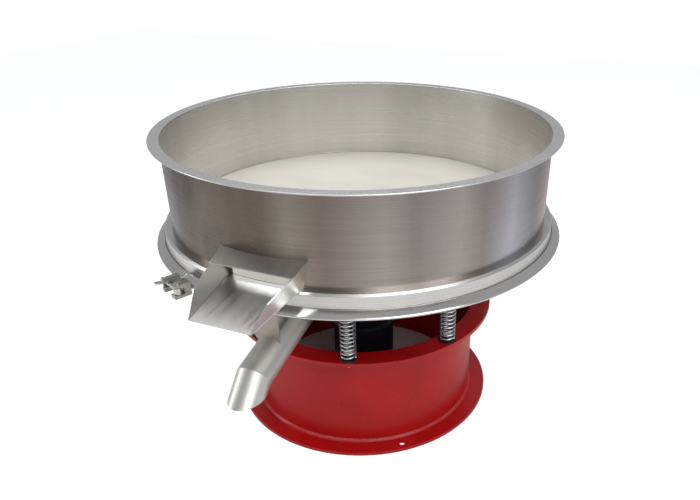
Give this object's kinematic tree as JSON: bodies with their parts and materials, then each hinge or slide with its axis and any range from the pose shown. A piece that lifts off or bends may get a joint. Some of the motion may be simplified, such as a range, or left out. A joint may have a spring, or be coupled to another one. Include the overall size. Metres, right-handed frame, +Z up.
{
  "type": "vibrating sieve",
  "caption": "Round vibrating sieve on a sprung base, with a clamped screen, an oversize chute and an undersize spout.",
  "frame": {"origin": "On the machine's vertical axis at floor level, in the middle of the anchor hole circle.", "axes": "+Z is up, -Y points along both outlets, +X completes the right-handed frame, so it is on the right of someone who faces the outlets."},
  "size_m": [1.09, 1.214, 0.8],
  "materials": {
    "red_paint": "gloss",
    "stainless": "brushed",
    "table_paint": "satin",
    "mesh_wire": "woven",
    "silicone": "matt",
    "seat_rubber": "matt",
    "zinc": "plated",
    "spring_steel": "bright",
    "motor_paint": "satin",
    "core_steel": "laminated",
    "machined_steel": "turned",
    "weight_iron": "cast",
    "gland_plastic": "matt"
  },
  "bodies": {
    "base": {"base_drum": "red_paint", "base_floor_flange": "red_paint", "base_spring_flange": "red_paint", "spring_seats_lower": "seat_rubber", "seat_bolts_lower": "zinc", "seat_nuts_lower": "zinc", "spring_1": "spring_steel", "spring_2": "spring_steel", "spring_3": "spring_steel", "spring_4": "spring_steel", "spring_5": "spring_steel", "spring_6": "spring_steel", "spring_7": "spring_steel", "spring_8": "spring_steel"},
    "sieve": {"collecting_pan": "stainless", "undersize_spout": "stainless", "spout_end_cap": "stainless", "spout_hanger_plate": "stainless", "upper_rim": "stainless", "sieve_wall": "stainless", "frame_skirt": "stainless", "clamp_ring": "stainless", "chute_floor": "stainless", "chute_cover": "stainless", "chute_cheek_right": "stainless", "chute_cheek_left": "stainless", "screen_frame": "stainless", "pivot_lug": "stainless", "fork_lug": "stainless", "pivot_pin": "stainless", "table_ring": "table_paint", "table_ribs": "table_paint", "motor_well": "table_paint", "motor_plate": "table_paint", "screen_mesh": "mesh_wire", "screen_gasket": "silicone", "spring_seats_upper": "seat_rubber", "seat_bolts_upper": "zinc", "motor_bolts": "zinc", "motor_nuts": "zinc", "motor_housing": "motor_paint", "upper_end_shield": "motor_paint", "lower_end_shield": "motor_paint", "stator_core": "core_steel", "upper_bearing": "machined_steel", "lower_bearing": "machined_steel", "cable_gland": "gland_plastic"},
    "rotor": {"motor_shaft": "machined_steel", "rotor_core": "core_steel", "upper_weight": "weight_iron", "lower_weight": "weight_iron"},
    "lead_weight_body": {"lead_weight": "weight_iron"},
    "closure_bolt_body": {"closure_bolt": "stainless"},
    "closure_washer_body": {"closure_washer": "stainless"},
    "wing_nut_body": {"wing_nut": "stainless"}
  },
  "joints": [
    {"name": "sieve_bounce", "type": "slide", "parent": "base", "child": "sieve", "axis": [0, 0, 1], "range_m": [-0.006, 0.006], "stiffness_N_per_m": 32000, "deforming": ["spring_1", "spring_2", "spring_3", "spring_4", "spring_5", "spring_6", "spring_7", "spring_8"]},
    {"name": "rotor_spin", "type": "hinge", "parent": "sieve", "child": "rotor", "pos_m": [0, 0, 0.16], "axis": [0, 0, 1], "continuous": true},
    {"name": "lead_angle", "type": "hinge", "parent": "rotor", "child": "lead_weight_body", "pos_m": [0, 0, 0.057], "axis": [0, 0, 1], "range_deg": [0, 90]},
    {"name": "closure_bolt_swing", "type": "hinge", "parent": "sieve", "child": "closure_bolt_body", "pos_m": [-0.21086, -0.53262, 0.53], "axis": [0, 0, 1], "range_deg": [0, 75]},
    {"name": "closure_washer_run", "type": "slide", "parent": "closure_bolt_body", "child": "closure_washer_body", "axis": [-0.9085, 0.4179, 0], "range_m": [0, 0.0097]},
    {"name": "wing_nut_turn", "type": "hinge", "parent": "closure_washer_body", "child": "wing_nut_body", "pos_m": [-0.26355, -0.50838, 0.53], "axis": [-0.9085, 0.4179, 0], "range_deg": [0, 1980]}
  ],
  "couplings": [
    {"joint": "closure_washer_run", "follows": "wing_nut_turn", "m_per_rad": 0.00027852}
  ]
}
